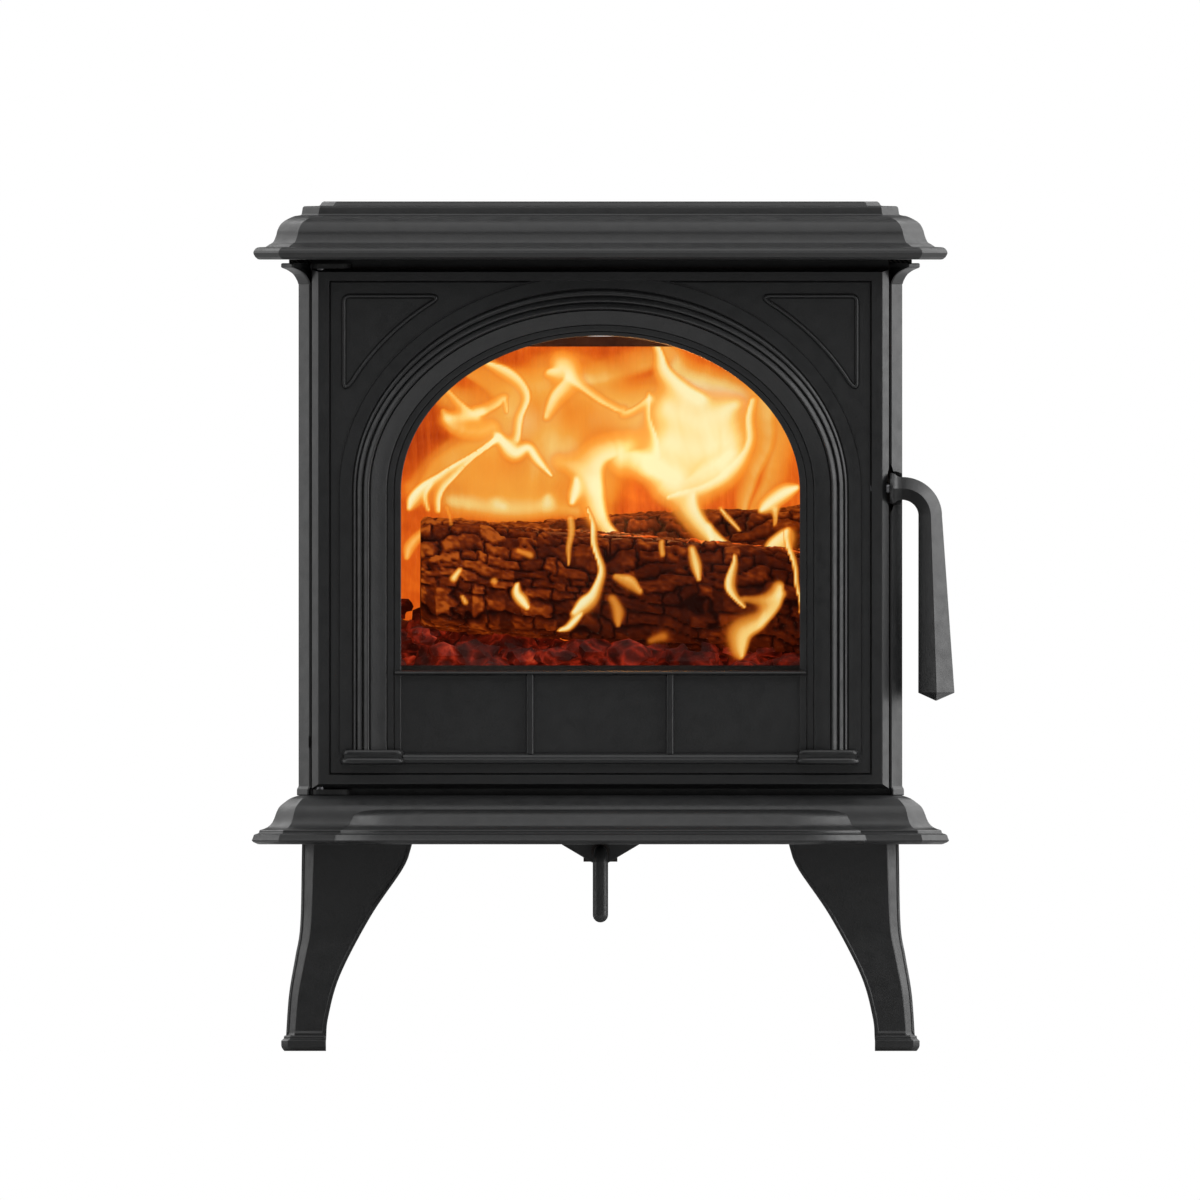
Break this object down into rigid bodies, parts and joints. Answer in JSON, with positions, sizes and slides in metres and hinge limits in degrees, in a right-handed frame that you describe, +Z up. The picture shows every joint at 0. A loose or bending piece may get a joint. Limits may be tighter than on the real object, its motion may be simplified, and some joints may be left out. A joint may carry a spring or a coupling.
{
  "type": "wood burning stove",
  "caption": "Free-standing cast-iron wood burning stove with an arched glass door, curled legs, ash lip and rear flue outlet.",
  "frame": {"origin": "on the floor, under the middle of the stove's footprint box", "axes": "+Z up; -Y is the front, where the door is; +X is to the right of someone facing the door"},
  "size_m": [0.4976, 0.3851, 0.6015],
  "materials": {
    "painted_iron": "matte black stove paint over sand-cast iron",
    "raw_iron": "bare heat-stained cast iron",
    "steel": "dull zinc-plated steel",
    "rope": "dark glass-fibre rope",
    "fire_brick": "vermiculite board, sooted",
    "log": "charred split wood",
    "embers": "glowing coals and ash",
    "glass": "clear ceramic stove glass"
  },
  "bodies": {
    "stove_body": {"top_plate": "painted_iron", "top_outlet_cover": "painted_iron", "left_side_wall": "painted_iron", "right_side_wall": "painted_iron", "back_panel": "painted_iron", "base_plate": "painted_iron", "leg_front_left": "painted_iron", "leg_front_right": "painted_iron", "leg_rear_left": "painted_iron", "leg_rear_right": "painted_iron", "flue_collar": "painted_iron", "air_rod_bracket": "painted_iron", "front_frame": "raw_iron", "hearth_plate": "raw_iron", "fire_grate": "raw_iron", "log_guard": "raw_iron", "lower_hinge_bracket": "raw_iron", "upper_hinge_bracket": "raw_iron", "slider_guide_left": "raw_iron", "slider_guide_right": "raw_iron", "top_seal_rope": "rope", "leg_bolt_front_left": "steel", "leg_bolt_front_right": "steel", "leg_bolt_rear_left": "steel", "leg_bolt_rear_right": "steel", "tie_rod_front_left": "steel", "tie_rod_rear_left": "steel", "tie_rod_front_right": "steel", "tie_rod_rear_right": "steel", "flue_collar_bolt_left": "steel", "flue_collar_bolt_right": "steel", "ash_pan": "steel", "lower_hinge_pin": "steel", "upper_hinge_pin": "steel", "latch_keeper": "steel", "baffle_plate": "fire_brick", "left_fire_brick": "fire_brick", "right_fire_brick": "fire_brick", "rear_fire_brick": "fire_brick", "front_log": "log", "rear_log": "log", "ember_bed": "embers"},
    "fire_door": {"door": "painted_iron", "door_glass": "glass", "glass_gasket": "rope", "door_rope_seal": "rope", "glass_clip_lower_left": "steel", "glass_clip_lower_right": "steel", "glass_clip_upper_left": "steel", "glass_clip_upper_right": "steel", "glass_clip_screw_lower_left": "steel", "glass_clip_screw_lower_right": "steel", "glass_clip_screw_upper_left": "steel", "glass_clip_screw_upper_right": "steel"},
    "latch_handle": {"door_handle": "painted_iron", "handle_spindle": "steel", "latch_cam": "steel"},
    "air_control": {"air_control_rod": "painted_iron", "air_slider": "raw_iron"}
  },
  "joints": [
    {"name": "door_hinge", "type": "hinge", "parent": "stove_body", "child": "fire_door", "pos_m": [-0.1985, -0.129, 0.37], "axis": [0, 0, -1], "range_deg": [0, 90]},
    {"name": "handle_turn", "type": "hinge", "parent": "fire_door", "child": "latch_handle", "pos_m": [0.2, -0.128, 0.3983], "axis": [-1, 0, 0], "range_deg": [0, 60]},
    {"name": "air_control_slide", "type": "slide", "parent": "stove_body", "child": "air_control", "axis": [0, -1, 0], "range_m": [0, 0.04]}
  ]
}
